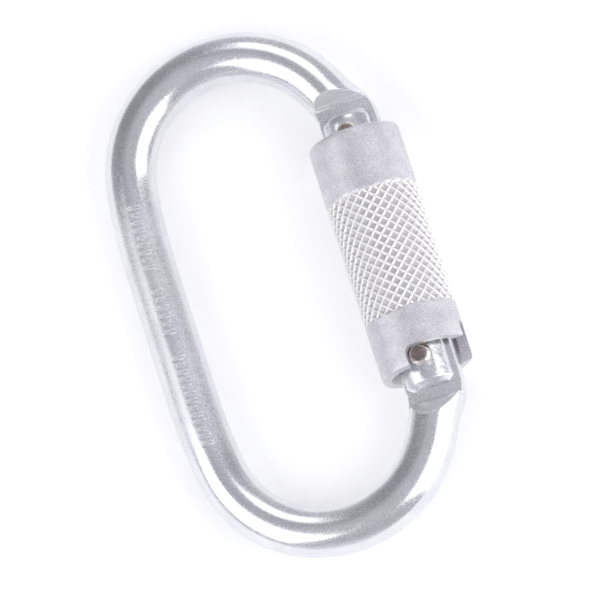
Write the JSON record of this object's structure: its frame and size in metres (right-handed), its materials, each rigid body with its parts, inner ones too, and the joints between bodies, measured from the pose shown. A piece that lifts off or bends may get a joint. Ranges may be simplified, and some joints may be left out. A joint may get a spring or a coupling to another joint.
{
  "type": "locking carabiner",
  "caption": "Oval steel locking carabiner with a hinged pin-latch gate and a spring-loaded knurled quarter-turn locking sleeve.",
  "frame": {"origin": "centre of the bounding box, midway between the spine's outer side and the sleeve's outer side and midway between the two bows", "axes": "+X from the spine to the gate, +Y along the length from the nose to the hinge, +Z along the normal of the loop, with the carabiner lying flat"},
  "size_m": [0.0598, 0.1078, 0.0182],
  "materials": {
    "bright_steel": "bright zinc plate",
    "satin_steel": "satin zinc plate",
    "rivet_steel": "plain unplated steel",
    "spring_steel": "oiled",
    "bush_bronze": "turned"
  },
  "bodies": {
    "frame": {"body": "bright_steel"},
    "gate": {"gate_rod": "bright_steel", "hinge_rivet": "rivet_steel", "latch_pin": "rivet_steel", "gate_spring": "spring_steel", "lower_bush": "bush_bronze", "sleeve_spring": "spring_steel", "stop_pin": "spring_steel", "rod_circlips": "spring_steel"},
    "plunger": {"gate_plunger": "spring_steel"},
    "lock_sleeve": {"sleeve": "satin_steel", "upper_bush": "bush_bronze"}
  },
  "joints": [
    {"name": "gate_open", "type": "hinge", "parent": "frame", "child": "gate", "pos_m": [0.02073, 0.0246, 0], "axis": [0, 0, -1], "range_deg": [0, 38], "stiffness_Nm_per_rad": 0.12, "springref_deg": -22.92},
    {"name": "plunger_slide", "type": "slide", "parent": "gate", "child": "plunger", "axis": [0, -1, 0], "range_m": [0, 0.0015], "deforming": ["gate_spring"]},
    {"name": "sleeve_turn", "type": "hinge", "parent": "gate", "child": "lock_sleeve", "pos_m": [0.02073, 0, 0], "axis": [0, 1, 0], "range_deg": [-90, 0], "stiffness_Nm_per_rad": 0.02, "springref_deg": -90, "deforming": ["sleeve_spring"]}
  ],
  "couplings": [
    {"joint": "plunger_slide", "follows": "gate_open", "m_per_rad": 0.0022}
  ]
}
